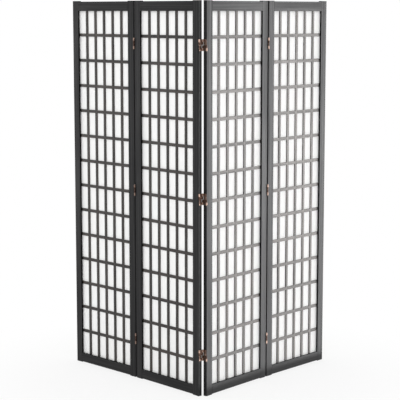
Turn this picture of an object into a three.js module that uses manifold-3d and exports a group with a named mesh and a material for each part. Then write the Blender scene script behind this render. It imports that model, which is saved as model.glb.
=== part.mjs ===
// Folding screen of four shoji panels, standing half open in a V.
// Each panel is a mortised and tenoned wood frame with a half-lapped lattice and a sheet of
// translucent paper let into a groove. Panels are joined by double-acting hinges, three to a
// joint, each with one pin line in front of the panels and one behind them.
// Units are millimetres, +Z is up and the front of the screen looks along -Y.

import * as THREE from 'three';
import { mergeVertices } from 'three/addons/utils/BufferGeometryUtils.js';
import Module from 'manifold-3d';

const wasm = await Module();
wasm.setup();

// ---- Panel frame ----
const PANEL_COUNT = 4;
const PANEL_WIDTH = 438;
const STILE_LENGTH = 1784;
const FRAME_DEPTH = 19;
const STILE_FACE = 39.7;
const RAIL_FACE = 44.5;
const HORN = 3; // how far the stile ends run past the rails
const EASED_EDGE = 1; // small chamfer along the long edges
const FOOT_CHAMFER = 1.5; // chamfer round both ends of a stile

// ---- Joinery ----
const FIT = 0.3; // clearance between pieces that touch
const GROOVE_DEPTH = 6;
const TENON_LENGTH = 25;
const TENON_SHOULDER = 8; // solid wood left between the mortise and the horn

// ---- Lattice and paper ----
const COLUMNS = 6;
const ROWS = 14;
const BAR_FACE = 14.3;
const BAR_DEPTH = 5;
const LATTICE_RECESS = 7.2; // from the front of the frame back to the front of the bars
const PAPER_THICKNESS = 0.6;

// ---- Double-acting hinges ----
const HINGE_HEIGHT = 51;
const HINGE_FROM_FLOOR = 190; // to the middle of the bottom hinge
const HINGE_FROM_TOP = 196; // to the middle of the top hinge
const MIDDLE_FROM_TOP = 880; // to the middle of the middle hinge
const PANEL_GAP = 8; // between the edges of two panels laid flat
const PIN_PROUD = 1.5; // pin lines stand this far outside the frame's faces
const LEAF_THICKNESS = 1.2;
const LEAF_INSET = 2; // leaf plates stop this far inside the frame's faces
const LINK_THICKNESS = 1.2;
const PIN_RADIUS = 1.7;
const PIN_PLAY = 0.4; // radial play of a pin in its knuckle
const HALF_GAP = 1; // between the upper and the lower half of a hinge
const KNUCKLE_SIDES = 12;
const PIN_SIDES = 8;

// ---- Pose: how far each joint stands folded, in degrees ----
const OUTER_FOLD = 2; // panels 1-2 and 3-4, towards the front
const CENTRE_FOLD = 97; // panels 2-3, towards the back

// ---- Derived planes ----
const shoulderSpan = PANEL_WIDTH - 2 * STILE_FACE;
const openingBottom = HORN + RAIL_FACE;
const openingHeight = STILE_LENGTH - 2 * openingBottom;
const paperFront = LATTICE_RECESS + BAR_DEPTH + FIT;
const grooveFront = LATTICE_RECESS - FIT;
const grooveBack = paperFront + PAPER_THICKNESS + FIT;
const tongue = GROOVE_DEPTH - FIT; // what the lattice and the paper put into the groove
const insertWidth = shoulderSpan + 2 * tongue;
const insertHeight = openingHeight + 2 * tongue;
const tenonInner = RAIL_FACE - GROOVE_DEPTH - FIT; // measured up from the bottom rail's underside
const knuckleRadius = PANEL_GAP / 2 - FIT; // leaf plates are rolled round it, so they are tangent
const pinFront = -PIN_PROUD;
const pinBack = FRAME_DEPTH + PIN_PROUD;
const hingeHeights = [
  ['bottom', HINGE_FROM_FLOOR],
  ['middle', STILE_LENGTH - MIDDLE_FROM_TOP],
  ['top', STILE_LENGTH - HINGE_FROM_TOP],
];

// ---- Materials ----
const woodFinish = { color: 0x2b2b2c, roughness: 0.42, metalness: 0 };
const latticeFinish = { color: 0x34312f, roughness: 0.45, metalness: 0 };
const paperFinish = { color: 0xf4f3ee, roughness: 0.9, metalness: 0 };
const copperFinish = { color: 0x9a6a54, roughness: 0.38, metalness: 0.9 };

// ---- Solids ----
function toSolid(geometry) {
  const bare = geometry.index ? geometry.clone() : mergeVertices(geometry);
  bare.deleteAttribute('normal');
  bare.deleteAttribute('uv');
  const merged = mergeVertices(bare, 1e-4);
  return new wasm.Manifold(new wasm.Mesh({
    numProp: 3,
    vertProperties: new Float32Array(merged.attributes.position.array),
    triVerts: new Uint32Array(merged.index.array),
  }));
}

function toGeometry(solid) {
  const { vertProperties, triVerts } = solid.getMesh();
  const geometry = new THREE.BufferGeometry();
  geometry.setAttribute('position', new THREE.BufferAttribute(vertProperties, 3));
  geometry.setIndex(new THREE.BufferAttribute(triVerts, 1));
  geometry.computeVertexNormals();
  return geometry;
}

function join(...geometries) {
  const solids = geometries.map(toSolid);
  return toGeometry(solids.reduce((whole, piece) => whole.add(piece)));
}

function cut(geometry, ...cutters) {
  return toGeometry(cutters.map(toSolid).reduce((rest, cutter) => rest.subtract(cutter), toSolid(geometry)));
}

// A box given by its two faces along each axis.
function block([x0, x1], [y0, y1], [z0, z1]) {
  const box = new THREE.BoxGeometry(x1 - x0, y1 - y0, z1 - z0);
  return box.translate((x0 + x1) / 2, (y0 + y1) / 2, (z0 + z1) / 2);
}

// An upright cylinder round the point (0, y), between two heights.
function upright(radius, sides, y, [z0, z1]) {
  const rod = new THREE.CylinderGeometry(radius, radius, z1 - z0, sides);
  return rod.rotateX(Math.PI / 2).translate(0, y, (z0 + z1) / 2);
}

// ---- Panel pieces ----
// The left stile, standing on its foot, with the groove and both mortises in its right edge.
function stileGeometry() {
  const outline = new THREE.Shape([
    new THREE.Vector2(EASED_EDGE, 0),
    new THREE.Vector2(STILE_FACE - EASED_EDGE, 0),
    new THREE.Vector2(STILE_FACE, EASED_EDGE),
    new THREE.Vector2(STILE_FACE, FRAME_DEPTH - EASED_EDGE),
    new THREE.Vector2(STILE_FACE - EASED_EDGE, FRAME_DEPTH),
    new THREE.Vector2(EASED_EDGE, FRAME_DEPTH),
    new THREE.Vector2(0, FRAME_DEPTH - EASED_EDGE),
    new THREE.Vector2(0, EASED_EDGE),
  ]);
  const bar = new THREE.ExtrudeGeometry(outline, {
    depth: STILE_LENGTH - 2 * FOOT_CHAMFER,
    bevelThickness: FOOT_CHAMFER,
    bevelSize: FOOT_CHAMFER,
    bevelOffset: -FOOT_CHAMFER,
    bevelSegments: 1,
  });
  bar.translate(0, 0, FOOT_CHAMFER);
  const across = [grooveFront, grooveBack];
  const past = STILE_FACE + FIT;
  const grooveEnd = openingBottom - GROOVE_DEPTH;
  const mortise = [HORN + TENON_SHOULDER - FIT, HORN + tenonInner + FIT];
  const mortiseAtTop = mortise.map((z) => STILE_LENGTH - z).reverse();
  const mortiseFloor = STILE_FACE - TENON_LENGTH - FIT;
  return cut(
    bar,
    block([STILE_FACE - GROOVE_DEPTH, past], across, [grooveEnd, STILE_LENGTH - grooveEnd]),
    block([mortiseFloor, past], across, mortise),
    block([mortiseFloor, past], across, mortiseAtTop),
  );
}

// The bottom rail, lying along X from the left stile's edge, grooved on top, with its tenons.
function railGeometry() {
  const outline = new THREE.Shape([
    new THREE.Vector2(EASED_EDGE, 0),
    new THREE.Vector2(FRAME_DEPTH - EASED_EDGE, 0),
    new THREE.Vector2(FRAME_DEPTH, EASED_EDGE),
    new THREE.Vector2(FRAME_DEPTH, RAIL_FACE - EASED_EDGE),
    new THREE.Vector2(FRAME_DEPTH - EASED_EDGE, RAIL_FACE),
    new THREE.Vector2(grooveBack, RAIL_FACE),
    new THREE.Vector2(grooveBack, RAIL_FACE - GROOVE_DEPTH),
    new THREE.Vector2(grooveFront, RAIL_FACE - GROOVE_DEPTH),
    new THREE.Vector2(grooveFront, RAIL_FACE),
    new THREE.Vector2(EASED_EDGE, RAIL_FACE),
    new THREE.Vector2(0, RAIL_FACE - EASED_EDGE),
    new THREE.Vector2(0, EASED_EDGE),
  ]);
  const bar = new THREE.ExtrudeGeometry(outline, {
    depth: shoulderSpan - 2 * FIT,
    bevelEnabled: false,
  });
  bar.applyMatrix4(new THREE.Matrix4().makeBasis(
    new THREE.Vector3(0, 1, 0),
    new THREE.Vector3(0, 0, 1),
    new THREE.Vector3(1, 0, 0),
  ));
  bar.translate(FIT, 0, 0);
  const tenons = block(
    [-TENON_LENGTH, shoulderSpan + TENON_LENGTH],
    [grooveFront + FIT, grooveBack - FIT],
    [TENON_SHOULDER, tenonInner],
  );
  return join(bar, tenons);
}

// The lattice: upright bars and cross bars, half-lapped where they cross, so that they make one
// flat grid whose bar ends sit in the frame's groove.
function latticeGeometry() {
  const cellWidth = (shoulderSpan - (COLUMNS - 1) * BAR_FACE) / COLUMNS;
  const cellHeight = (openingHeight - (ROWS - 1) * BAR_FACE) / ROWS;
  const depth = [LATTICE_RECESS, LATTICE_RECESS + BAR_DEPTH];
  const bars = [];
  for (let column = 1; column < COLUMNS; column++) {
    const right = column * (cellWidth + BAR_FACE);
    bars.push(block([right - BAR_FACE, right], depth, [-tongue, openingHeight + tongue]));
  }
  for (let row = 1; row < ROWS; row++) {
    const top = row * (cellHeight + BAR_FACE);
    bars.push(block([-tongue, shoulderSpan + tongue], depth, [top - BAR_FACE, top]));
  }
  return join(...bars);
}

function paperGeometry() {
  const sheet = new THREE.BoxGeometry(insertWidth, PAPER_THICKNESS, insertHeight);
  return sheet.translate(shoulderSpan / 2, paperFront + PAPER_THICKNESS / 2, openingHeight / 2);
}

// ---- Hinge pieces ----
// A hinge stands round the middle of the gap between two panels, with y = 0 at the front of the
// frames. Its upper half has leaf and link knuckles on both pins, and so has its lower half.
const halfHeight = HINGE_HEIGHT / 2;
const halfMiddle = (halfHeight + HALF_GAP / 2) / 2;
const leafKnuckle = [halfMiddle + FIT / 2, halfHeight];
const linkKnuckle = [HALF_GAP / 2, halfMiddle - FIT / 2];
const leafBack = -(PANEL_GAP / 2 - FIT);
const leafFace = leafBack + LEAF_THICKNESS;
const below = ([z0, z1]) => [-z1, -z0];

// The left leaf: a plate on the panel's edge, rolled round the front pin in the upper half and
// round the back pin in the lower half. The right leaf is the same piece turned half round.
function leafGeometry(hasLowerPin) {
  const thickness = [leafBack, leafFace];
  const pinSpan = [linkKnuckle[0], leafKnuckle[1]];
  const pieces = [
    block(thickness, [LEAF_INSET, FRAME_DEPTH - LEAF_INSET], [-halfHeight, halfHeight]),
    block(thickness, [pinFront, LEAF_INSET + LEAF_THICKNESS], leafKnuckle),
    upright(knuckleRadius, KNUCKLE_SIDES, pinFront, leafKnuckle),
    upright(PIN_RADIUS, PIN_SIDES, pinFront, pinSpan),
    block(thickness, [FRAME_DEPTH - LEAF_INSET - LEAF_THICKNESS, pinBack], below(leafKnuckle)),
    upright(knuckleRadius, KNUCKLE_SIDES, pinBack, below(leafKnuckle)),
  ];
  if (hasLowerPin) {
    pieces.push(upright(PIN_RADIUS, PIN_SIDES, pinBack, below(pinSpan)));
  }
  return join(...pieces);
}

// The upper link: a plate in the middle of the gap with a bored knuckle on both pins. The lower
// link is the same piece turned upside down.
function linkGeometry() {
  const thickness = [-LINK_THICKNESS / 2, LINK_THICKNESS / 2];
  const clear = knuckleRadius + FIT;
  const body = join(
    block(thickness, [pinFront + clear, pinBack - clear], [HALF_GAP / 2, halfHeight]),
    block(thickness, [pinFront, pinBack], linkKnuckle),
    upright(knuckleRadius, KNUCKLE_SIDES, pinFront, linkKnuckle),
    upright(knuckleRadius, KNUCKLE_SIDES, pinBack, linkKnuckle),
  );
  const bore = [linkKnuckle[0] - FIT, linkKnuckle[1] + FIT];
  return cut(
    body,
    upright(PIN_RADIUS + PIN_PLAY, PIN_SIDES, pinFront, bore),
    upright(PIN_RADIUS + PIN_PLAY, PIN_SIDES, pinBack, bore),
  );
}

// ---- Assembly ----
function addMesh(parent, name, geometry, finish, [x, y, z]) {
  const mesh = new THREE.Mesh(geometry, new THREE.MeshStandardMaterial(finish));
  mesh.name = name;
  mesh.position.set(x, y, z);
  parent.add(mesh);
  return mesh;
}

function addGroup(parent, [x, y, z], turn = 0) {
  const group = new THREE.Group();
  group.position.set(x, y, z);
  group.rotation.z = THREE.MathUtils.degToRad(turn);
  parent.add(group);
  return group;
}

const stile = stileGeometry();
const rail = railGeometry();
const lattice = latticeGeometry();
const paper = paperGeometry();
const leafLeft = leafGeometry(false);
const leafRight = leafGeometry(true);
const link = linkGeometry();

// A panel's own origin is the outer front corner of its left stile's foot.
function addPanelPieces(panel, number) {
  const name = (piece) => `panel_${number}_${piece}`;
  const opening = [STILE_FACE, 0, openingBottom];
  addMesh(panel, name('stile_left'), stile, woodFinish, [0, 0, 0]);
  const right = addMesh(panel, name('stile_right'), stile, woodFinish, [PANEL_WIDTH, 0, STILE_LENGTH]);
  right.rotation.y = Math.PI;
  addMesh(panel, name('rail_bottom'), rail, woodFinish, [STILE_FACE, 0, HORN]);
  const top = addMesh(panel, name('rail_top'), rail, woodFinish,
    [PANEL_WIDTH - STILE_FACE, 0, STILE_LENGTH - HORN]);
  top.rotation.y = Math.PI;
  addMesh(panel, name('lattice'), lattice, latticeFinish, opening);
  addMesh(panel, name('paper'), paper, paperFinish, opening);
}

// Adds the hinges of one joint to the left panel, and returns the next panel's group. The upper
// links turn on the front pins, the next panel turns on the links' back pins, and the lower
// links hang on the next panel's front pins.
function addJoint(leftPanel, number, frontTurn, backTurn) {
  const name = (place, piece) => `hinge_${number}${number + 1}_${place}_${piece}`;
  const middleOfGap = PANEL_WIDTH + PANEL_GAP / 2;
  const pinToPin = pinBack - pinFront;
  const upperLinks = addGroup(leftPanel, [middleOfGap, pinFront, 0], frontTurn);
  const onBackPin = addGroup(upperLinks, [0, pinToPin, 0], backTurn);
  const lowerLinks = addGroup(onBackPin, [0, -pinToPin, 0], -frontTurn);
  for (const [place, height] of hingeHeights) {
    addMesh(leftPanel, name(place, 'leaf_left'), leafLeft, copperFinish, [middleOfGap, 0, height]);
    addMesh(upperLinks, name(place, 'link_upper'), link, copperFinish, [0, -pinFront, height]);
    const right = addMesh(onBackPin, name(place, 'leaf_right'), leafRight, copperFinish,
      [0, FRAME_DEPTH - pinBack, height]);
    right.rotation.z = Math.PI;
    const lower = addMesh(lowerLinks, name(place, 'link_lower'), link, copperFinish,
      [0, -pinFront, height]);
    lower.rotation.y = Math.PI;
  }
  return addGroup(onBackPin, [PANEL_GAP / 2, -pinBack, 0]);
}

const screen = new THREE.Group();
const jointTurns = [
  [-OUTER_FOLD, 0],
  [0, CENTRE_FOLD],
  [-OUTER_FOLD, 0],
];
let panel = addGroup(screen, [0, 0, 0], OUTER_FOLD - CENTRE_FOLD / 2);
for (let number = 1; number <= PANEL_COUNT; number++) {
  addPanelPieces(panel, number);
  if (number < PANEL_COUNT) {
    panel = addJoint(panel, number, ...jointTurns[number - 1]);
  }
}

// The origin is on the floor, under the middle of the whole screen.
screen.updateMatrixWorld(true);
const bounds = new THREE.Box3().setFromObject(screen, true);
screen.position.set(-(bounds.min.x + bounds.max.x) / 2, -(bounds.min.y + bounds.max.y) / 2, 0);

export default screen;
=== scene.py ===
"""The looks of a four-panel shoji folding screen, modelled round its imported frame.

Every stile, rail, lattice bar, sheet of paper and hinge piece is modelled at the bench, in its
panel's own upright frame, and then stood in the place of the node that it stands for. Sizes and
finishes are properties of the scene, and each kind of piece has its own operator.
"""

import math

import bpy
from bpy.props import (
    FloatProperty,
    FloatVectorProperty,
    IntProperty,
    PointerProperty,
)
from mathutils import Matrix, Vector


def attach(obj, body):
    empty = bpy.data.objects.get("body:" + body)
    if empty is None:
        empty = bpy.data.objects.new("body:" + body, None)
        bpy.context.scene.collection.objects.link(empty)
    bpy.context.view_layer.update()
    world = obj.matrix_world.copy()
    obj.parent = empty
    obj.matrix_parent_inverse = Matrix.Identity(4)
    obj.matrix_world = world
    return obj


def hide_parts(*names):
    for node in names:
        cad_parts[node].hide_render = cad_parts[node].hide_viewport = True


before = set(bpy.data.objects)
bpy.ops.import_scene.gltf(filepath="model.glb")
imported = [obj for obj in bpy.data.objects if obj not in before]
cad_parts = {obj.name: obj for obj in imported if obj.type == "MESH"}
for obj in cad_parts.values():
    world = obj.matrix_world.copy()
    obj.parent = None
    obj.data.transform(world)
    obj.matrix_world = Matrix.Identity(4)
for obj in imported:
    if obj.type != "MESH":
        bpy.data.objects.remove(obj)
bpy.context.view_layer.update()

bl_info = {
    "name": "Shoji folding screen",
    "version": (1, 0, 0),
    "blender": (4, 5, 0),
    "location": "3D View > Sidebar > Shoji",
    "description": "Models the wood, paper and hinges of a four-panel shoji folding screen",
    "category": "Object",
}

PANELS = (1, 2, 3, 4)
PANEL_YAWS = (-46.5, -48.5, 48.5, 46.5)  # at rest, in degrees about the upright axis
JOINTS = ((1, 2), (2, 3), (3, 4))
BACK_FOLDED = (2, 3)  # the joint that turns on its back pins
PLACES = ("bottom", "middle", "top")
X, Y, Z = Vector((1, 0, 0)), Vector((0, 1, 0)), Vector((0, 0, 1))
MM = 0.001
FIT = 0.3 * MM  # the clearance between pieces
LAP_SLACK = 0.05 * MM
TENON_ARRIS = 0.5 * MM
SIZE_TOLERANCE = 0.2 * MM
FACING = 0.9  # least share of a face's normal along the way that it is said to face

# Patterns, as cycles to the metre. In wood the first is along the grain and the rest across it.
STREAKS = (1.6, 120.0, 120.0)
FIBRES = (11.0, 520.0, 520.0)
PORES = (42.0, 1500.0, 1500.0)
CLOUDS = (3.0, 12.0, 12.0)
EDGE_PATCHES = 38.0
PAPER_CLOUDS = 9.0
PATINA_BLOTCHES = 210.0
PATINA_SPECKS = 1500.0
BRUSHING = (900.0, 900.0, 5200.0)  # along X, Y and Z
# Each layer of paper fibres: its turn in the sheet, in radians, and its cycles to the metre.
PAPER_FIBRES = ((0.4, 46.0), (1.3, 58.0), (2.4, 52.0))
# How far from an edge the edge colour reaches: worn copper, and on wood wear with painted
# highlight.
WOOD_EDGE, METAL_EDGE = 0.9 * MM, 0.5 * MM

# The hinges' eased edges, and the heads of their pins.
PLATE_ARRIS, ARM_ARRIS, KNUCKLE_RIM = 0.25 * MM, 0.2 * MM, 0.3 * MM
PIN_HEAD, PIN_HEAD_RIM = 0.9 * MM, 0.7 * MM
# The screws: depths are from the top of the head, and a tip is the radius at a taper's small end.
SCREW_SUNK = 0.25 * MM  # from the leaf's face down to the top of the head
HEAD_DEPTH, HEAD_TIP = 1.4 * MM, 1.4 * MM
SHANK_RADIUS, SHANK_TIP = 1.35 * MM, 0.2 * MM
SHANK_START, SHANK_END = 1.45 * MM, 13 * MM
SLOT_DEPTH, SLOT_HALF_LENGTH, SLOT_HALF_WIDTH = 0.5 * MM, 4 * MM, 0.35 * MM
SLOT_TURNS = (0.5, -0.9)  # of the lower and the upper screw, in radians
# The countersink: how far it is wider than the head, its tip, and how far it passes the plate.
SINK_MARGIN, SINK_TIP, SINK_PAST = 0.5 * MM, 1.6 * MM, 0.1 * MM

# Each lamp: its place, its target, its width and height, its power in watts, whether it lights
# gloss alone, and its turn about the upright axis in degrees.
LAMPS = {
    "right_softbox": ((3.6, -0.15, 0.80), (0.3, -0.15, 0.9), (4.3, 2.6), 262, True, 0.0),
    "floor_bounce": ((1.76, 0.04, 0.02), (1.76, 0.04, 1.0), (3.0, 2.0), 76, True, 47.5),
    "left_strip": ((-3.6, 1.25, 0.95), (-0.5, 0.1, 0.9), (0.7, 1.7), 12, True, 0.0),
    "front_fill": ((0.2, -5.2, 2.3), (0, 0, 0.8), (2.5, 2.5), 62, False, 0.0),
}
WORLD_LEVEL = 0.95
FLOOR_SIZE, FLOOR_DROP = 60.0, 0.2 * MM
FLOOR_COLOUR = (0.86, 0.86, 0.86, 1)
FLOOR_REACH = (0.6, 1.4)  # where the floor starts and stops turning to plain white, in metres
FLOOR_NEAR = 0.80  # the share of plain white inside that

CAMERA_PLACE = (-0.12543, -6.28502, 1.73458)
CAMERA_DIP, CAMERA_HEADING = 7.95307, -1.09031  # in degrees, below level and about the upright
SENSOR_WIDTH, LENS_LENGTH = 36.0, 121.48591  # in millimetres, as the camera takes them


# ---- Sizes and finishes ----
def length(name, default, description):
    """A length property in metres, given in millimetres."""
    return FloatProperty(
        name=name,
        description=description,
        default=default * MM,
        min=0.0,
        precision=5,
        subtype="DISTANCE",
        unit="LENGTH",
    )


def colour(name, default, description):
    """A colour property."""
    return FloatVectorProperty(
        name=name,
        description=description,
        default=default,
        size=3,
        min=0.0,
        max=1.0,
        subtype="COLOR",
    )


def share(name, default, description):
    """A property between 0 and 1."""
    return FloatProperty(
        name=name, description=description, default=default, min=0.0, max=1.0, subtype="FACTOR"
    )


class ShojiSizes(bpy.types.PropertyGroup):
    """The sizes of the panels and of what fills them."""

    panel_width: length("Panel width", 438.0, "Width of one panel over its stiles")
    stile_length: length("Stile length", 1784.0, "Height of the screen")
    frame_depth: length("Frame depth", 19.0, "Thickness of the stiles and rails")
    stile_face: length("Stile face", 39.7, "Width of a stile seen from the front")
    rail_face: length("Rail face", 44.5, "Height of a rail seen from the front")
    horn: length("Horn", 3.0, "How far a stile stands past the rails")
    arris: length("Arris", 1.1, "Radius of the eased edges of stiles and rails")
    groove_front: length("Groove front", 6.9, "From the front to the near wall of the groove")
    groove_back: length("Groove back", 13.4, "From the front to the far wall of the groove")
    groove_depth: length("Groove depth", 6.0, "Depth of the groove that holds the lattice")
    tongue: length("Tongue", 5.7, "How far lattice and paper reach into the groove")
    tenon_length: length("Tenon length", 25.0, "Length of a rail's tenon")
    tenon_shoulder: length("Tenon shoulder", 8.0, "Shoulder between a rail's edge and its tenon")
    bar_face: length("Bar face", 14.3, "Width of a lattice bar seen from the front")
    bar_depth: length("Bar depth", 5.0, "Thickness of a lattice bar")
    bar_arris: length("Bar arris", 0.6, "Radius of a lattice bar's eased edges")
    recess: length("Lattice recess", 7.2, "From the front of the frame to the lattice")
    paper_front: length("Paper front", 12.5, "From the front of the frame to the paper")
    paper_thickness: length("Paper thickness", 0.6, "Thickness of the paper")
    columns: IntProperty(
        name="Columns", description="Cells across a panel", default=6, min=2, max=12
    )
    rows: IntProperty(name="Rows", description="Cells up a panel", default=14, min=2, max=30)


class ShojiHinge(bpy.types.PropertyGroup):
    """The sizes of the double-acting hinges."""

    height: length("Height", 51.0, "Height of a hinge")
    heights: FloatVectorProperty(
        name="Heights",
        description="Heights of the three hinge centres above the floor",
        default=(0.190, 0.904, 1.588),
        size=3,
        subtype="XYZ",
        unit="LENGTH",
    )
    panel_gap: length("Gap", 8.0, "Gap between two panels' edges when flat")
    pin_proud: length("Pin stand-off", 1.5, "From a panel's face out to the pin line")
    knuckle_radius: length("Knuckle radius", 3.7, "Outer radius of a knuckle")
    pin_radius: length("Pin radius", 1.7, "Radius of a pin")
    sheet: length("Sheet", 1.2, "Thickness of the leaves and links")
    leaf_inset: length("Leaf inset", 2.0, "From a panel's face to the edge of the leaf's plate")
    half_gap: length("Half gap", 1.0, "Gap between a hinge's upper and lower halves")
    play: length("Play", 0.2, "Play of a link's bore on its pin")
    screw_radius: length("Screw radius", 2.6, "Radius of a countersunk screw head")


class ShojiFinishes(bpy.types.PropertyGroup):
    """The colours and sheen of wood, paper and metal."""

    stain: colour("Stain", (0.0020, 0.0021, 0.0024), "Black stain in the deep grain")
    undertone: colour("Undertone", (0.013, 0.0125, 0.0125), "Wood that shows through the stain")
    bar_undertone: colour(
        "Bar undertone", (0.040, 0.031, 0.026), "Wood that shows through on the thin bars"
    )
    frame_tint: colour("Frame tint", (0.98, 0.98, 1.0), "Tint of the frame's lacquer sheen")
    bar_tint: colour("Bar tint", (1.0, 0.965, 0.95), "Tint of the bars' lacquer sheen")
    # The edge colour on wood: partly wear, partly painted highlight.
    worn_edge_and_highlight: colour("Rubbed edge", (0.075, 0.050, 0.036), "Bare wood on rubbed edges")
    sheen: share("Wood roughness", 0.36, "Roughness of the satin lacquer")
    frame_gloss: share("Frame gloss", 0.22, "Specular level of the lacquered frame")
    bar_gloss: share("Bar gloss", 0.46, "Specular level of the lacquered bars")
    paper: colour("Paper", (0.905, 0.905, 0.895), "Paper between its fibres")
    fibre: colour("Fibre", (0.955, 0.95, 0.93), "Long fibres in the paper")
    copper: colour("Copper", (0.31, 0.215, 0.175), "Rubbed antique copper")
    patina: colour("Patina", (0.034, 0.017, 0.012), "Brown patina in the hollows")
    # How strongly the wood's edge colour, wear and painted highlight, is laid on.
    edge_wear_and_highlight: share("Wear", 0.35, "How far edges are rubbed")


# ---- Bench work: selecting, shaping and copying pieces ----
def only(*pieces):
    """Selects these pieces alone, and makes the first one active."""
    bpy.ops.object.select_all(action="DESELECT")
    for piece in pieces:
        piece.select_set(True)
    bpy.context.view_layer.objects.active = pieces[0]


def settle(piece, name):
    """Names a new piece and applies its place, turn and scale."""
    piece.name = name
    piece.data.name = name
    only(piece)
    bpy.ops.object.transform_apply(location=True, rotation=True, scale=True)
    return piece


def block(name, low, high):
    """A box between two corners."""
    low, high = Vector(low), Vector(high)
    bpy.ops.object.select_all(action="DESELECT")
    bpy.ops.mesh.primitive_cube_add(size=1.0, location=(low + high) / 2)
    piece = bpy.context.object
    piece.scale = high - low
    return settle(piece, name)


def rod(name, radius, low, high, sides=24, tip=None):
    """A round bar between two points on a line along an axis, tapered if it has a tip."""
    low, high = Vector(low), Vector(high)
    bpy.ops.object.select_all(action="DESELECT")
    bpy.ops.mesh.primitive_cone_add(
        vertices=sides,
        radius1=radius,
        radius2=radius if tip is None else tip,
        depth=(high - low).length,
        location=(low + high) / 2,
        rotation=Z.rotation_difference(high - low).to_euler(),
    )
    return settle(bpy.context.object, name)


def ease(piece, radius, weights=(1, 1, 1), segments=3):
    """Rounds the edges that run along X, Y and Z by these shares of the radius."""
    mesh = piece.data
    layer = mesh.attributes.new("bevel_weight_edge", "FLOAT", "EDGE")
    for edge in mesh.edges:
        run = mesh.vertices[edge.vertices[1]].co - mesh.vertices[edge.vertices[0]].co
        run = [abs(part) for part in run]
        layer.data[edge.index].value = weights[run.index(max(run))]
    only(piece)
    bpy.ops.object.modifier_add(type="BEVEL")
    bevel = piece.modifiers[-1]
    bevel.limit_method = "WEIGHT"
    bevel.width = radius
    bevel.segments = segments
    bpy.ops.object.modifier_apply(modifier=bevel.name)
    layer = mesh.attributes.get("bevel_weight_edge")
    if layer:
        mesh.attributes.remove(layer)


def soften_rims(piece, radius, segments=2):
    """Rounds every sharp edge of a turned piece."""
    only(piece)
    bpy.ops.object.modifier_add(type="BEVEL")
    bevel = piece.modifiers[-1]
    bevel.limit_method = "ANGLE"
    bevel.angle_limit = math.radians(50)
    bevel.width = radius
    bevel.segments = segments
    bpy.ops.object.modifier_apply(modifier=bevel.name)


def joined(name, pieces):
    """The pieces as one object, each still its own shell."""
    only(*pieces)
    if len(pieces) > 1:
        bpy.ops.object.join()
    return settle(bpy.context.view_layer.objects.active, name)


def combine(piece, others, operation):
    """Adds other pieces to a piece, or cuts them out of it, and removes them."""
    for other in others:
        only(piece)
        bpy.ops.object.modifier_add(type="BOOLEAN")
        boolean = piece.modifiers[-1]
        boolean.operation = operation
        boolean.solver = "EXACT"
        boolean.object = other
        bpy.ops.object.modifier_apply(modifier=boolean.name)
        only(other)
        bpy.ops.object.delete()
    if not piece.data.polygons:
        raise RuntimeError(f"nothing is left of {piece.name}")
    return piece


def carve(piece, boxes):
    """Cuts boxes, which don't touch one another, out of a piece."""
    cutters = [block("cutter", low, high) for low, high in boxes]
    return combine(piece, [joined("cutter", cutters)], "DIFFERENCE")


def smooth(piece, angle=35):
    """Smooth shading across rounded edges, with the broad faces kept flat."""
    only(piece)
    bpy.ops.object.mode_set(mode="EDIT")
    bpy.ops.mesh.select_all(action="SELECT")
    bpy.ops.mesh.remove_doubles(threshold=1e-6)
    bpy.ops.mesh.normals_make_consistent(inside=False)
    bpy.ops.object.mode_set(mode="OBJECT")
    bpy.ops.object.shade_smooth_by_angle(angle=math.radians(angle))
    bpy.ops.object.modifier_add(type="WEIGHTED_NORMAL")
    weighted = piece.modifiers[-1]
    weighted.keep_sharp = True
    bpy.ops.object.modifier_apply(modifier=weighted.name)


def twin(piece, name):
    """A copy of a piece, with its own mesh."""
    only(piece)
    bpy.ops.object.duplicate()
    copy = bpy.context.view_layer.objects.active
    copy.name = name
    copy.data.name = name
    return copy


def lay_grain(piece, along, shift=0.0):
    """Writes where each point lies in the board it was cut from: first the way along the grain."""
    across = [axis for axis in range(3) if axis != along]
    layer = piece.data.attributes.new("grain", "FLOAT_VECTOR", "POINT")
    for vertex, place in zip(piece.data.vertices, layer.data):
        spot = vertex.co
        place.vector = (spot[along] + shift, spot[across[0]], spot[across[1]] + shift * 0.37)


def mark_shaded_faces(piece, test):
    """Gives the second finish, painted shade, to the faces picked by middle and normal."""
    for face in piece.data.polygons:
        face.material_index = 1 if test(face.center, face.normal) else 0


def stand(piece, matrix):
    """Moves a finished piece to its place, and applies the move to its mesh."""
    piece.matrix_world = matrix
    only(piece)
    bpy.ops.object.transform_apply(location=True, rotation=True, scale=True)


def deliver(piece, body, slot, nodes, *materials):
    """Gives a standing piece its finishes, body and nodes."""
    for material in materials:
        piece.data.materials.append(material)
    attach(piece, body)
    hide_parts(*nodes)


# ---- Where the panels stand ----
def panel_matrix(number):
    """From a panel's own frame, at the outer front corner of its left foot, to the room."""
    sizes = bpy.context.scene.shoji_sizes
    turn = Matrix.Rotation(math.radians(PANEL_YAWS[number - 1]), 4, "Z")
    across, depth = turn @ X, turn @ Y
    left = [v.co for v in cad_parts[f"panel_{number}_stile_left"].data.vertices]
    right = [v.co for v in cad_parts[f"panel_{number}_stile_right"].data.vertices]
    start, front = min(p.dot(across) for p in left), min(p.dot(depth) for p in left)
    width = max(p.dot(across) for p in right) - start
    if abs(width - sizes.panel_width) > SIZE_TOLERANCE:
        raise RuntimeError(f"panel {number} of the frame is {width * 1000:.1f} mm wide")
    return Matrix.Translation(across * start + depth * front) @ turn


def half_turn(about, axis):
    """A half turn about a line through a point."""
    return (
        Matrix.Translation(about) @ Matrix.Rotation(math.pi, 4, axis) @ Matrix.Translation(-about)
    )


def opening(sizes):
    """Width and height of the opening inside the stiles and rails."""
    width = sizes.panel_width - 2 * sizes.stile_face
    return width, sizes.stile_length - 2 * (sizes.horn + sizes.rail_face)


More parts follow.
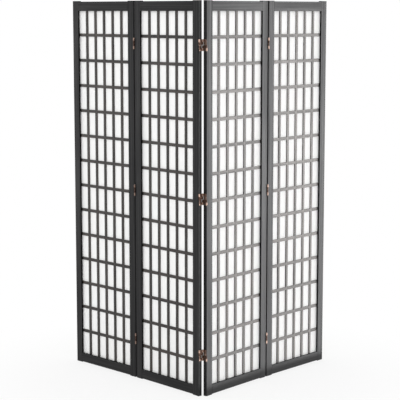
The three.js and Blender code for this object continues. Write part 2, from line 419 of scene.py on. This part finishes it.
def opening_matrix(sizes, number):
    """From the lower left front corner of a panel's opening to the room."""
    corner = (sizes.stile_face, 0, sizes.horn + sizes.rail_face)
    return panel_matrix(number) @ Matrix.Translation(corner)


def bar_starts(span, count, face):
    """Where each of the bars that part a span into equal cells begins."""
    cell = (span - (count - 1) * face) / count
    return [step * (cell + face) - face for step in range(1, count)]


# ---- Materials ----
def put(tree, kind, sockets=None, **settings):
    """A node with its settings made, and its inputs set or linked."""
    made = tree.nodes.new(kind)
    for name, value in settings.items():
        setattr(made, name, value)
    for name, value in (sockets or {}).items():
        if isinstance(value, bpy.types.NodeSocket):
            tree.links.new(value, made.inputs[name])
        else:
            made.inputs[name].default_value = value
    return made


def maths(tree, operation, first, second=0.5, third=0.5):
    """The output of a Math node."""
    made = put(tree, "ShaderNodeMath", {0: first, 1: second, 2: third}, operation=operation)
    return made.outputs[0]


def spread(tree, value, low, high, new_low=0.0, new_high=1.0):
    """A value brought smoothly from one range to another."""
    sockets = {0: value, 1: low, 2: high, 3: new_low, 4: new_high}
    made = put(tree, "ShaderNodeMapRange", sockets, interpolation_type="SMOOTHSTEP")
    return made.outputs[0]


def stretched(tree, place, scale):
    """A vector multiplied by three numbers."""
    made = put(tree, "ShaderNodeVectorMath", {0: place, 1: scale}, operation="MULTIPLY")
    return made.outputs[0]


def noise(tree, place, scale, detail=2.0, roughness=0.5, distortion=0.0):
    """The height of a noise pattern."""
    sockets = {
        "Vector": place,
        "Scale": scale,
        "Detail": detail,
        "Roughness": roughness,
        "Distortion": distortion,
    }
    return put(tree, "ShaderNodeTexNoise", sockets).outputs[0]


def blended(tree, factor, first, second):
    """A mix of two colours."""
    made = put(tree, "ShaderNodeMix", data_type="RGBA")
    for index, value in ((0, factor), (6, first), (7, second)):
        if isinstance(value, bpy.types.NodeSocket):
            tree.links.new(value, made.inputs[index])
        else:
            made.inputs[index].default_value = value if index == 0 else (*value, 1.0)
    return made.outputs[2]


def new_group(name, inputs, outputs):
    """An empty shader node group with these sockets, and its two end nodes."""
    group = bpy.data.node_groups.new(name, "ShaderNodeTree")
    for title, kind in inputs:
        group.interface.new_socket(name=title, in_out="INPUT", socket_type=kind)
    for title in outputs:
        group.interface.new_socket(name=title, in_out="OUTPUT", socket_type="NodeSocketFloat")
    return group, group.nodes.new("NodeGroupInput"), group.nodes.new("NodeGroupOutput")


VECTOR, FLOAT = "NodeSocketVector", "NodeSocketFloat"


def grain_group():
    """Straight grain: broad streaks, fine fibre and short open pores."""
    if "straight_grain" in bpy.data.node_groups:
        return bpy.data.node_groups["straight_grain"]
    tree, start, end = new_group(
        "straight_grain",
        [("Place", VECTOR), ("Streak", FLOAT)],
        ["Tone", "Height", "Dullness"],
    )
    place, streak = start.outputs["Place"], start.outputs["Streak"]
    broad = noise(tree, stretched(tree, place, STREAKS), 1.0, 3.0, 0.6, 0.6)
    fine = noise(tree, stretched(tree, place, FIBRES), 1.0, 4.0, 0.62, 0.3)
    pore = spread(tree, noise(tree, stretched(tree, place, PORES), 1.0, 2.0, 0.5), 0.60, 0.74)
    cloud = noise(tree, stretched(tree, place, CLOUDS), 1.0, 2.0)
    centred = maths(tree, "SUBTRACT", broad, 0.5)
    tone = maths(tree, "MULTIPLY_ADD", centred, maths(tree, "MULTIPLY", streak, 3.4), 0.44)
    tone = maths(tree, "MULTIPLY_ADD", maths(tree, "SUBTRACT", fine, 0.5), 0.9, tone)
    tone = maths(tree, "SUBTRACT", tone, maths(tree, "MULTIPLY", pore, 0.55))
    tree.links.new(spread(tree, tone, 0.0, 1.0), end.inputs["Tone"])
    height = maths(tree, "MULTIPLY_ADD", broad, 0.6, maths(tree, "MULTIPLY", fine, 0.7))
    height = maths(tree, "SUBTRACT", height, maths(tree, "MULTIPLY", pore, 0.8))
    tree.links.new(height, end.inputs["Height"])
    dull = maths(tree, "MULTIPLY_ADD", cloud, 0.6, maths(tree, "MULTIPLY", fine, 0.5))
    dull = maths(tree, "MULTIPLY_ADD", pore, 0.5, dull)
    tree.links.new(dull, end.inputs["Dullness"])
    return tree


def edge_group():
    """Outward edges, broken up by noise: worn on copper, wear and painted highlight on wood."""
    if "outer_edge_patches" in bpy.data.node_groups:
        return bpy.data.node_groups["outer_edge_patches"]
    tree, start, end = new_group(
        "outer_edge_patches", [("Radius", FLOAT), ("Place", VECTOR)], ["Mask"]
    )
    rounded = put(tree, "ShaderNodeBevel", {"Radius": start.outputs["Radius"]}, samples=6)
    true_normal = put(tree, "ShaderNodeNewGeometry").outputs["Normal"]
    turned = put(
        tree,
        "ShaderNodeVectorMath",
        {0: rounded.outputs[0], 1: true_normal},
        operation="DOT_PRODUCT",
    ).outputs["Value"]
    edge = spread(tree, turned, 0.995, 0.90)
    patches = noise(tree, start.outputs["Place"], EDGE_PATCHES, 3.0, 0.6)
    patchy = spread(tree, patches, 0.44, 0.66)
    tree.links.new(maths(tree, "MULTIPLY", edge, patchy), end.inputs["Mask"])
    return tree


def washi_group():
    """Long fibres laid every way in a sheet, over a faint cloudiness."""
    if "washi_fibres" in bpy.data.node_groups:
        return bpy.data.node_groups["washi_fibres"]
    tree, start, end = new_group("washi_fibres", [("Place", VECTOR)], ["Fibre", "Cloud"])
    place = start.outputs["Place"]
    strands = None
    for turn, scale in PAPER_FIBRES:
        turned = put(
            tree,
            "ShaderNodeMapping",
            {"Vector": place, "Rotation": (0.0, turn, 0.0), "Scale": (1.0, 1.0, 0.28)},
        ).outputs[0]
        waves = noise(tree, turned, scale, 2.0, 0.5, 1.6)
        ridge = maths(tree, "ABSOLUTE", maths(tree, "SUBTRACT", waves, 0.5))
        strand = spread(tree, ridge, 0.016, 0.003)
        strands = strand if strands is None else maths(tree, "MAXIMUM", strands, strand)
    tree.links.new(strands, end.inputs["Fibre"])
    tree.links.new(noise(tree, place, PAPER_CLOUDS, 3.0, 0.6), end.inputs["Cloud"])
    return tree


def use(tree, group, sockets):
    """The group as a node in a material."""
    made = tree.nodes.new("ShaderNodeGroup")
    made.node_tree = group
    for name, value in sockets.items():
        if isinstance(value, bpy.types.NodeSocket):
            tree.links.new(value, made.inputs[name])
        else:
            made.inputs[name].default_value = value
    return made


def new_material(name):
    """A material with only its output and Principled shader."""
    material = bpy.data.materials.new(name)
    material.use_nodes = True
    tree = material.node_tree
    return material, tree, next(n for n in tree.nodes if n.type == "BSDF_PRINCIPLED")


def stained_wood(name, undertone, gloss, tint, streak):
    """Black stain under satin lacquer, on wood whose grain shows faintly."""
    if name in bpy.data.materials:
        return bpy.data.materials[name]
    finishes = bpy.context.scene.shoji_finishes
    material, tree, shader = new_material(name)
    place = put(tree, "ShaderNodeAttribute", attribute_name="grain").outputs["Vector"]
    grain = use(tree, grain_group(), {"Place": place, "Streak": streak})
    edges = use(tree, edge_group(), {"Radius": WOOD_EDGE, "Place": place})
    tone = blended(tree, grain.outputs["Tone"], finishes.stain, undertone)
    # Lighter outward edges: partly wear, partly painted highlight.
    worn_edge_and_highlight = maths(tree, "MULTIPLY", edges.outputs["Mask"], finishes.edge_wear_and_highlight)
    tree.links.new(blended(tree, worn_edge_and_highlight, tone, finishes.worn_edge_and_highlight), shader.inputs["Base Color"])
    shader.inputs["Specular IOR Level"].default_value = gloss
    # Streaks that show more undertone are a little smoother.
    sealed = maths(tree, "MULTIPLY", grain.outputs["Tone"], 0.45)
    dull = maths(tree, "SUBTRACT", grain.outputs["Dullness"], sealed)
    rough = spread(tree, dull, -0.25, 0.9, finishes.sheen - 0.10, finishes.sheen + 0.22)
    tree.links.new(rough, shader.inputs["Roughness"])
    bump = put(
        tree,
        "ShaderNodeBump",
        {"Strength": 0.4, "Distance": 0.14 * MM, "Height": grain.outputs["Height"]},
    )
    tree.links.new(bump.outputs[0], shader.inputs["Normal"])
    shader.inputs["Specular Tint"].default_value = (*tint, 1.0)
    return material


def frame_finish():
    """The finish of stiles and rails."""
    finishes = bpy.context.scene.shoji_finishes
    return stained_wood(
        "stained_frame_wood",
        finishes.undertone,
        finishes.frame_gloss,
        finishes.frame_tint,
        1.0,
    )


def recess_shade_wood():
    """Black stain, darker than the lacquered wood, dull and dry, with open pores: painted shade.
    """
    if "painted_recess_shade_wood" in bpy.data.materials:
        return bpy.data.materials["painted_recess_shade_wood"]
    finishes = bpy.context.scene.shoji_finishes
    material, tree, shader = new_material("painted_recess_shade_wood")
    place = put(tree, "ShaderNodeAttribute", attribute_name="grain").outputs["Vector"]
    grain = use(tree, grain_group(), {"Place": place, "Streak": 0.6})
    shown = maths(tree, "MULTIPLY", grain.outputs["Tone"], 0.25)
    tree.links.new(
        blended(tree, shown, finishes.stain, finishes.undertone), shader.inputs["Base Color"]
    )
    tree.links.new(
        spread(tree, grain.outputs["Dullness"], 0.2, 1.0, 0.7, 0.92), shader.inputs["Roughness"]
    )
    bump = put(
        tree,
        "ShaderNodeBump",
        {"Strength": 0.5, "Distance": 0.15 * MM, "Height": grain.outputs["Height"]},
    )
    tree.links.new(bump.outputs[0], shader.inputs["Normal"])
    shader.inputs["Specular IOR Level"].default_value = 0.05
    return material


def washi_paper():
    """Translucent white paper with long fibres."""
    if "washi_paper" in bpy.data.materials:
        return bpy.data.materials["washi_paper"]
    finishes = bpy.context.scene.shoji_finishes
    material, tree, shader = new_material("washi_paper")
    place = put(tree, "ShaderNodeAttribute", attribute_name="grain").outputs["Vector"]
    washi = use(tree, washi_group(), {"Place": place})
    shown = maths(tree, "MULTIPLY", washi.outputs["Cloud"], 0.35)
    shown = maths(tree, "MULTIPLY_ADD", washi.outputs["Fibre"], 0.6, shown)
    tree.links.new(
        blended(tree, shown, finishes.paper, finishes.fibre), shader.inputs["Base Color"]
    )
    bump = put(
        tree,
        "ShaderNodeBump",
        {"Strength": 0.25, "Distance": 0.08 * MM, "Height": washi.outputs["Fibre"]},
    )
    tree.links.new(bump.outputs[0], shader.inputs["Normal"])
    shader.inputs["Roughness"].default_value = 0.85
    shader.inputs["Specular IOR Level"].default_value = 0.2
    shader.inputs["Subsurface Weight"].default_value = 0.75
    shader.inputs["Subsurface Radius"].default_value = (1.0, 1.0, 1.0)
    shader.inputs["Subsurface Scale"].default_value = 1.5 * MM
    return material


def copper_plate(name, blotches, shade_film, roughness):
    """Copper plate with blotches of brown, worn bright along its edges, and an even brown film as
    painted shade.
    """
    if name in bpy.data.materials:
        return bpy.data.materials[name]
    finishes = bpy.context.scene.shoji_finishes
    material, tree, shader = new_material(name)
    place = put(tree, "ShaderNodeTexCoord").outputs["Object"]
    edges = use(tree, edge_group(), {"Radius": METAL_EDGE, "Place": place})
    blotch = spread(tree, noise(tree, place, PATINA_BLOTCHES, 4.0, 0.65), 0.42, 0.66)
    speck = spread(tree, noise(tree, place, PATINA_SPECKS, 3.0, 0.6), 0.58, 0.70)
    brown = maths(tree, "MULTIPLY_ADD", speck, 0.35, blotch)
    brown = maths(tree, "MULTIPLY_ADD", brown, blotches, shade_film)
    brown = maths(tree, "SUBTRACT", brown, edges.outputs["Mask"])
    brown = put(tree, "ShaderNodeClamp", {0: brown}).outputs[0]
    tree.links.new(
        blended(tree, brown, finishes.copper, finishes.patina), shader.inputs["Base Color"]
    )
    tree.links.new(
        spread(tree, brown, 0.0, 1.0, roughness, roughness + 0.28), shader.inputs["Roughness"]
    )
    brushed = noise(tree, stretched(tree, place, BRUSHING), 1.0, 3.0)
    bump = put(
        tree, "ShaderNodeBump", {"Strength": 0.2, "Distance": 0.03 * MM, "Height": brushed}
    )
    tree.links.new(bump.outputs[0], shader.inputs["Normal"])
    shader.inputs["Metallic"].default_value = 1.0
    return material


# ---- Operators: the wood ----
class SHOJI_OT_stiles(bpy.types.Operator):
    """Model the eight stiles, grooved for the lattice and mortised for the rails"""

    bl_idname = "shoji.stiles"
    bl_label = "Stiles"
    bl_options = {"REGISTER", "UNDO"}

    def execute(self, context):
        sizes = context.scene.shoji_sizes
        face, tall = sizes.stile_face, sizes.stile_length
        pattern = block("stile", (0, 0, 0), (face, sizes.frame_depth, tall))
        ease(pattern, sizes.arris)
        groove = (sizes.groove_front, sizes.groove_back)
        end = sizes.horn + sizes.rail_face - sizes.groove_depth
        low = sizes.horn + sizes.tenon_shoulder - FIT
        high = end - FIT
        floor = face - sizes.tenon_length - FIT
        past = face + sizes.arris
        carve(
            pattern,
            [
                ((face - sizes.groove_depth, groove[0], end), (past, groove[1], tall - end)),
                ((floor, groove[0], low), (past, groove[1], high)),
                ((floor, groove[0], tall - high), (past, groove[1], tall - low)),
            ],
        )
        smooth(pattern)
        inner = face - sizes.arris
        # Painted shade: the inner face, toward the opening, takes the darker finish.
        mark_shaded_faces(pattern, lambda middle, normal: middle.x > inner and normal.x > FACING)
        finish = frame_finish()
        over = half_turn(Vector((sizes.panel_width / 2, 0, tall / 2)), "Y")
        for number in PANELS:
            for side, turn in (("left", Matrix()), ("right", over)):
                piece = twin(pattern, f"stile_{number}_{side}")
                lay_grain(piece, 2, number * 3.1 + (side == "right") * 1.7)
                stand(piece, panel_matrix(number) @ turn)
                deliver(
                    piece,
                    f"panel_{number}",
                    "frame_wood",
                    [f"panel_{number}_stile_{side}"],
                    finish,
                    recess_shade_wood(),
                )
        only(pattern)
        bpy.ops.object.delete()
        return {"FINISHED"}


class SHOJI_OT_rails(bpy.types.Operator):
    """Model the eight rails, with their tenons and the groove for the lattice"""

    bl_idname = "shoji.rails"
    bl_label = "Rails"
    bl_options = {"REGISTER", "UNDO"}

    def execute(self, context):
        sizes = context.scene.shoji_sizes
        wide = opening(sizes)[0]
        pattern = block("rail", (FIT, 0, 0), (wide - FIT, sizes.frame_depth, sizes.rail_face))
        ease(pattern, sizes.arris, weights=(1, 0.25, 0.25))
        front, back = sizes.groove_front, sizes.groove_back
        floor = sizes.rail_face - sizes.groove_depth
        carve(pattern, [((-FIT, front, floor), (wide + FIT, back, sizes.rail_face + FIT))])
        tenon_top = floor - 2 * FIT
        reach = sizes.tenon_length
        for low, high in ((-reach, 2 * FIT), (wide - 2 * FIT, wide + reach)):
            tenon = block(
                "tenon",
                (low, front + FIT, sizes.tenon_shoulder),
                (high, back - FIT, tenon_top),
            )
            ease(tenon, TENON_ARRIS, segments=1)
            combine(pattern, [tenon], "UNION")
        smooth(pattern)
        # Painted shade: the face toward the opening takes the darker finish.
        mark_shaded_faces(pattern, lambda _, normal: normal.z > FACING)
        finish = frame_finish()
        low = Matrix.Translation((sizes.stile_face, 0, sizes.horn))
        centre = Vector((sizes.panel_width / 2, 0, sizes.stile_length / 2))
        for number in PANELS:
            for side, turn in (("bottom", low), ("top", half_turn(centre, "Y") @ low)):
                piece = twin(pattern, f"rail_{number}_{side}")
                lay_grain(piece, 0, number * 2.3 + (side == "top") * 0.9)
                stand(piece, panel_matrix(number) @ turn)
                deliver(
                    piece,
                    f"panel_{number}",
                    "frame_wood",
                    [f"panel_{number}_rail_{side}"],
                    finish,
                    recess_shade_wood(),
                )
        only(pattern)
        bpy.ops.object.delete()
        return {"FINISHED"}


class SHOJI_OT_lattices(bpy.types.Operator):
    """Model each lattice from separate bars, half-lapped where they cross"""

    bl_idname = "shoji.lattices"
    bl_label = "Lattices"
    bl_options = {"REGISTER", "UNDO"}

    def execute(self, context):
        sizes, finishes = context.scene.shoji_sizes, context.scene.shoji_finishes
        wide, tall = opening(sizes)
        face, reach = sizes.bar_face, sizes.tongue
        front = sizes.recess
        back = front + sizes.bar_depth
        middle = (front + back) / 2
        lefts = bar_starts(wide, sizes.columns, face)
        feet = bar_starts(tall, sizes.rows, face)

        upright = block("upright", (0, front, -reach), (face, back, tall + reach))
        ease(upright, sizes.bar_arris, weights=(0.3, 0.3, 1), segments=2)
        near, wider = middle - LAP_SLACK, face + LAP_SLACK
        laps = [
            ((-MM, near, foot - LAP_SLACK), (face + MM, back + MM, foot + wider)) for foot in feet
        ]
        smooth(carve(upright, laps))
        crossbar = block("crossbar", (-reach, front, 0), (wide + reach, back, face))
        ease(crossbar, sizes.bar_arris, weights=(1, 0.3, 0.3), segments=2)
        far = middle + LAP_SLACK
        laps = [
            ((left - LAP_SLACK, front - MM, -MM), (left + wider, far, face + MM)) for left in lefts
        ]
        smooth(carve(crossbar, laps))

        finish = stained_wood(
            "stained_lattice_wood",
            finishes.bar_undertone,
            finishes.bar_gloss,
            finishes.bar_tint,
            0.8,
        )
        sets = (
            ("uprights", upright, 2, [(left, 0, 0) for left in lefts]),
            ("crossbars", crossbar, 0, [(0, 0, foot) for foot in feet]),
        )
        for number in PANELS:
            for name, pattern, along, spots in sets:
                bars = []
                for index, spot in enumerate(spots):
                    bar = twin(pattern, f"{name}_{number}_bar")
                    lay_grain(bar, along, number * 2.9 + index * 0.61)
                    stand(bar, Matrix.Translation(spot))
                    bars.append(bar)
                piece = joined(f"{name}_{number}", bars)
                stand(piece, opening_matrix(sizes, number))
                deliver(
                    piece,
                    f"panel_{number}",
                    "lattice_wood",
                    [f"panel_{number}_lattice"],
                    finish,
                )
        for pattern in (upright, crossbar):
            only(pattern)
            bpy.ops.object.delete()
        return {"FINISHED"}


class SHOJI_OT_papers(bpy.types.Operator):
    """Stretch one sheet of paper behind each lattice"""

    bl_idname = "shoji.papers"
    bl_label = "Papers"
    bl_options = {"REGISTER", "UNDO"}

    def execute(self, context):
        sizes = context.scene.shoji_sizes
        wide, tall = opening(sizes)
        reach, front = sizes.tongue, sizes.paper_front
        finish = washi_paper()
        for number in PANELS:
            piece = block(
                f"paper_{number}",
                (-reach, front, -reach),
                (wide + reach, front + sizes.paper_thickness, tall + reach),
            )
            only(piece)
            bpy.ops.object.mode_set(mode="EDIT")
            bpy.ops.mesh.select_all(action="SELECT")
            bpy.ops.mesh.subdivide(number_cuts=11)
            bpy.ops.object.mode_set(mode="OBJECT")
            lay_grain(piece, 0, number * 1.9)
            stand(piece, opening_matrix(sizes, number))
            deliver(
                piece, f"panel_{number}", "shoji_paper", [f"panel_{number}_paper"], finish
            )
        return {"FINISHED"}


# ---- Operators: the hinges ----
def halves(hinge):
    """Half the height of a hinge, and how far from its middle leaf and link knuckles meet."""
    half = hinge.height / 2
    return half, (half + hinge.half_gap / 2) / 2


def pin_lines(sizes, hinge):
    """How far the front and the back pin line lie behind the front of the frame."""
    return -hinge.pin_proud, sizes.frame_depth + hinge.pin_proud


def leaf_back(hinge):
    """Where the back of the left leaf lies, from the middle of the gap."""
    return -(hinge.panel_gap / 2 - FIT)


def knuckle(name, hinge, pin_y, low, high, bore):
    """A bored knuckle on a pin line."""
    barrel = rod(name, hinge.knuckle_radius, (0, pin_y, low), (0, pin_y, high))
    soften_rims(barrel, KNUCKLE_RIM)
    hole = rod("hole", bore, (0, pin_y, low - MM), (0, pin_y, high + MM))
    return combine(barrel, [hole], "DIFFERENCE")


def pin(name, hinge, pin_y, low, high, head_up):
    """A pin with one domed head, which stands just past the knuckle."""
    shank = rod(name, hinge.pin_radius, (0, pin_y, low), (0, pin_y, high), 16)
    start, end = (high, high + PIN_HEAD) if head_up else (low, low - PIN_HEAD)
    head = rod("head", 1.5 * hinge.pin_radius, (0, pin_y, start), (0, pin_y, end), 16)
    soften_rims(head, PIN_HEAD_RIM, 3)
    return [shank, head]


class SHOJI_OT_hinges(bpy.types.Operator):
    """Model the nine double-acting hinges: leaves, links, pins and screws"""

    bl_idname = "shoji.hinges"
    bl_label = "Hinges"
    bl_options = {"REGISTER", "UNDO"}

    def leaf(self, sizes, hinge):
        """The left leaf, from the middle of the gap, with its two pins."""
        half, split = halves(hinge)
        front, back = pin_lines(sizes, hinge)
        outer = leaf_back(hinge)
        inner = outer + hinge.sheet
        near, far = hinge.leaf_inset, sizes.frame_depth - hinge.leaf_inset
        plate = block("leaf", (outer, near, -half), (inner, far, half))
        ease(plate, PLATE_ARRIS, segments=2)
        rolls = (
            (front, front, near + hinge.sheet, split + FIT / 2, half),
            (back, far - hinge.sheet, back, -half, -split - FIT / 2),
        )
        for pin_y, low_y, high_y, low, high in rolls:
            tab = block("tab", (outer, low_y, low), (inner, high_y, high))
            barrel = knuckle("roll", hinge, pin_y, low, high, hinge.pin_radius)
            combine(plate, [tab, barrel], "UNION")
        for spot in (-split, split):
            sink = rod(
                "sink",
                hinge.screw_radius + SINK_MARGIN,
                (inner + SINK_PAST, sizes.frame_depth / 2, spot),
                (outer - SINK_PAST, sizes.frame_depth / 2, spot),
                tip=SINK_TIP,
            )
            combine(plate, [sink], "DIFFERENCE")
        smooth(plate)
        gap = hinge.half_gap / 2
        pins = pin("pin", hinge, front, gap, half, True)
        pins += pin("pin", hinge, back, -half, -gap, False)
        for part in pins:
            smooth(part)
        return joined("leaf", [plate, *pins])

    def link(self, sizes, hinge):
        """The upper link: a plate in the middle of the gap with a knuckle on each pin."""
        half, split = halves(hinge)
        front, back = pin_lines(sizes, hinge)
        clear = hinge.knuckle_radius + FIT
        low, high = hinge.half_gap / 2, split - FIT / 2
        thick = hinge.sheet / 2
        bore = hinge.pin_radius + hinge.play
        plate = block("link", (-thick, front + clear, low + MM), (thick, back - clear, half))
        ease(plate, PLATE_ARRIS, segments=2)
        arm = block("arm", (-thick, front + bore + MM, low), (thick, back - bore - MM, high))
        ease(arm, ARM_ARRIS, segments=2)
        barrels = [knuckle("eye", hinge, y, low, high, bore) for y in (front, back)]
        combine(plate, [arm, *barrels], "UNION")
        smooth(plate)
        return plate

    def screws(self, sizes, hinge):
        """The left leaf's wood screws, countersunk and slotted."""
        split = halves(hinge)[1]
        top = leaf_back(hinge) + hinge.sheet - SCREW_SUNK
        middle = sizes.frame_depth / 2
        made = []
        for spot, turn in zip((-split, split), SLOT_TURNS):
            head = rod(
                "screw",
                hinge.screw_radius,
                (top, middle, spot),
                (top - HEAD_DEPTH, middle, spot),
                tip=HEAD_TIP,
            )
            slot = block(
                "slot",
                (-SLOT_DEPTH, -SLOT_HALF_LENGTH, -SLOT_HALF_WIDTH),
                (MM, SLOT_HALF_LENGTH, SLOT_HALF_WIDTH),
            )
            slot.rotation_euler = (turn, 0, 0)
            slot.location = (top, middle, spot)
            settle(slot, "slot")
            combine(head, [slot], "DIFFERENCE")
            shank = rod(
                "shank",
                SHANK_RADIUS,
                (top - SHANK_START, middle, spot),
                (top - SHANK_END, middle, spot),
                12,
                tip=SHANK_TIP,
            )
            smooth(head)
            smooth(shank)
            made += [head, shank]
        return joined("screws", made)

    def execute(self, context):
        sizes, hinge = context.scene.shoji_sizes, context.scene.shoji_hinge
        leaf = self.leaf(sizes, hinge)
        link = self.link(sizes, hinge)
        screws = self.screws(sizes, hinge)
        plate = copper_plate("antique_copper", 0.45, 0.0, 0.28)
        # The links' heavy brown film is painted shade for the gap between the panels, where they
        # sit.
        link_shade_copper = copper_plate("painted_shade_link_copper", 0.3, 0.78, 0.34)
        bright = copper_plate("copper_screws", 0.35, 0.0, 0.24)
        depth_middle = Vector((0, sizes.frame_depth / 2, 0))
        swung = half_turn(depth_middle, "Z")
        over = half_turn(Vector(), "Y")
        for joint in JOINTS:
            a, b = joint
            sides = {
                a: panel_matrix(a)
                @ Matrix.Translation((sizes.panel_width + hinge.panel_gap / 2, 0, 0)),
                b: panel_matrix(b) @ Matrix.Translation((-hinge.panel_gap / 2, 0, 0)),
            }
            upper, lower = (a, b) if joint == BACK_FOLDED else (b, a)
            for where, tall in zip(PLACES, hinge.heights):
                lift = Matrix.Translation((0, 0, tall))
                name = f"{a}{b}_{where}"
                node = f"hinge_{a}{b}_{where}"
                parts = (
                    ("leaf", "left", leaf, a, Matrix(), plate),
                    ("leaf", "right", leaf, b, swung, plate),
                    ("link", "upper", link, upper, Matrix(), link_shade_copper),
                    ("link", "lower", link, lower, over, link_shade_copper),
                    ("screws", "left", screws, a, Matrix(), bright),
                    ("screws", "right", screws, b, swung, bright),
                )
                for kind, which, pattern, side, turn, finish in parts:
                    piece = twin(pattern, f"{kind}_{name}_{which}")
                    stand(piece, sides[side] @ lift @ turn)
                    nodes = [] if kind == "screws" else [f"{node}_{kind}_{which}"]
                    deliver(piece, f"panel_{side}", "hinge_metal", nodes, finish)
        for pattern in (leaf, link, screws):
            only(pattern)
            bpy.ops.object.delete()
        return {"FINISHED"}


# ---- Operator: the stage ----
def seen_directly(tree):
    """1 for camera, glossy and transmission rays, and 0 for the rest."""
    rays = put(tree, "ShaderNodeLightPath").outputs
    seen = maths(tree, "MAXIMUM", rays["Is Camera Ray"], rays["Is Glossy Ray"])
    return maths(tree, "MAXIMUM", seen, rays["Is Transmission Ray"])


class SHOJI_OT_stage(bpy.types.Operator):
    """Set the floor, the soft studio light and the camera"""

    bl_idname = "shoji.stage"
    bl_label = "Stage"
    bl_options = {"REGISTER", "UNDO"}

    def world(self, context):
        """White all round, which lights the screen a little less than it shows."""
        world = bpy.data.worlds.new("white_studio")
        context.scene.world = world
        world.use_nodes = True
        tree = world.node_tree
        tree.nodes.clear()
        white = (1, 1, 1, 1)
        dim = put(tree, "ShaderNodeBackground", {"Color": white, "Strength": WORLD_LEVEL})
        full = put(tree, "ShaderNodeBackground", {"Color": white, "Strength": 1.0})
        sockets = {0: seen_directly(tree), 1: dim.outputs[0], 2: full.outputs[0]}
        mix = put(tree, "ShaderNodeMixShader", sockets)
        put(tree, "ShaderNodeOutputWorld", {"Surface": mix.outputs[0]})

    def floor(self):
        """A white floor, seen turning to plain white away from the screen."""
        bpy.ops.object.select_all(action="DESELECT")
        bpy.ops.mesh.primitive_plane_add(size=FLOOR_SIZE, location=(0, 0, -FLOOR_DROP))
        floor = settle(bpy.context.object, "studio_floor")
        material, tree, shader = new_material("white_floor")
        out = next(n for n in tree.nodes if n.type == "OUTPUT_MATERIAL")
        shader.inputs["Base Color"].default_value = FLOOR_COLOUR
        shader.inputs["Roughness"].default_value = 0.9
        shader.inputs["Specular IOR Level"].default_value = 0.1
        place = put(tree, "ShaderNodeTexCoord").outputs["Object"]
        away = put(tree, "ShaderNodeVectorMath", {0: place}, operation="LENGTH")
        far = spread(tree, away.outputs["Value"], *FLOOR_REACH, FLOOR_NEAR, 1.0)
        white = put(tree, "ShaderNodeEmission", {"Strength": 1.0})
        seen = maths(tree, "MULTIPLY", seen_directly(tree), far)
        sockets = {0: seen, 1: shader.outputs[0], 2: white.outputs[0]}
        mix = put(tree, "ShaderNodeMixShader", sockets)
        tree.links.new(mix.outputs[0], out.inputs["Surface"])
        floor.data.materials.append(material)

    def lamp(self, name, place, target, size, power, sheen_only, spin):
        """An area lamp, which leaves dull surfaces unlit if it is there for the sheen only."""
        bpy.ops.object.select_all(action="DESELECT")
        bpy.ops.object.light_add(type="AREA", location=place)
        lamp = bpy.context.object
        lamp.name = name
        lamp.data.shape = "RECTANGLE"
        lamp.data.size, lamp.data.size_y = size
        lamp.data.energy = power
        lamp.visible_diffuse = not sheen_only
        aim = (Vector(target) - Vector(place)).to_track_quat("-Z", "Y").to_matrix()
        lamp.rotation_euler = (Matrix.Rotation(math.radians(spin), 3, "Z") @ aim).to_euler()

    def camera(self, context):
        """The view of the photograph, without its lens shift."""
        bpy.ops.object.select_all(action="DESELECT")
        bpy.ops.object.camera_add(
            location=CAMERA_PLACE,
            rotation=(math.radians(90 - CAMERA_DIP), 0, math.radians(CAMERA_HEADING)),
        )
        camera = bpy.context.object
        camera.name = "photo_view"
        camera.data.sensor_width = SENSOR_WIDTH
        camera.data.lens = LENS_LENGTH
        camera.data.clip_end = 100.0
        context.scene.camera = camera

    def execute(self, context):
        self.world(context)
        self.floor()
        for name, settings in LAMPS.items():
            self.lamp(name, *settings)
        self.camera(context)
        context.scene.view_settings.view_transform = "Standard"
        return {"FINISHED"}


# ---- Panel and registration ----
class SHOJI_PT_sidebar(bpy.types.Panel):
    """The screen's sizes, finishes and pieces"""

    bl_label = "Shoji folding screen"
    bl_idname = "SHOJI_PT_sidebar"
    bl_space_type = "VIEW_3D"
    bl_region_type = "UI"
    bl_category = "Shoji"

    def draw(self, context):
        scene = context.scene
        for title, group in (
            ("Sizes", scene.shoji_sizes),
            ("Hinge", scene.shoji_hinge),
            ("Finishes", scene.shoji_finishes),
        ):
            column = self.layout.column(align=True)
            column.label(text=title)
            for name in group.__annotations__:
                column.prop(group, name)
        column = self.layout.column()
        for operator in OPERATORS:
            column.operator(operator.bl_idname)


OPERATORS = (
    SHOJI_OT_stiles,
    SHOJI_OT_rails,
    SHOJI_OT_lattices,
    SHOJI_OT_papers,
    SHOJI_OT_hinges,
    SHOJI_OT_stage,
)
GROUPS = {
    "shoji_sizes": ShojiSizes,
    "shoji_hinge": ShojiHinge,
    "shoji_finishes": ShojiFinishes,
}


def register():
    for kind in (*GROUPS.values(), *OPERATORS, SHOJI_PT_sidebar):
        bpy.utils.register_class(kind)
    for name, group in GROUPS.items():
        setattr(bpy.types.Scene, name, PointerProperty(type=group))


def unregister():
    for name in GROUPS:
        delattr(bpy.types.Scene, name)
    for kind in reversed((*GROUPS.values(), *OPERATORS, SHOJI_PT_sidebar)):
        bpy.utils.unregister_class(kind)


def main():
    """Models the whole screen."""
    register()
    for operator in OPERATORS:
        family, name = operator.bl_idname.split(".")
        getattr(getattr(bpy.ops, family), name)()


if __name__ == "__main__":
    main()
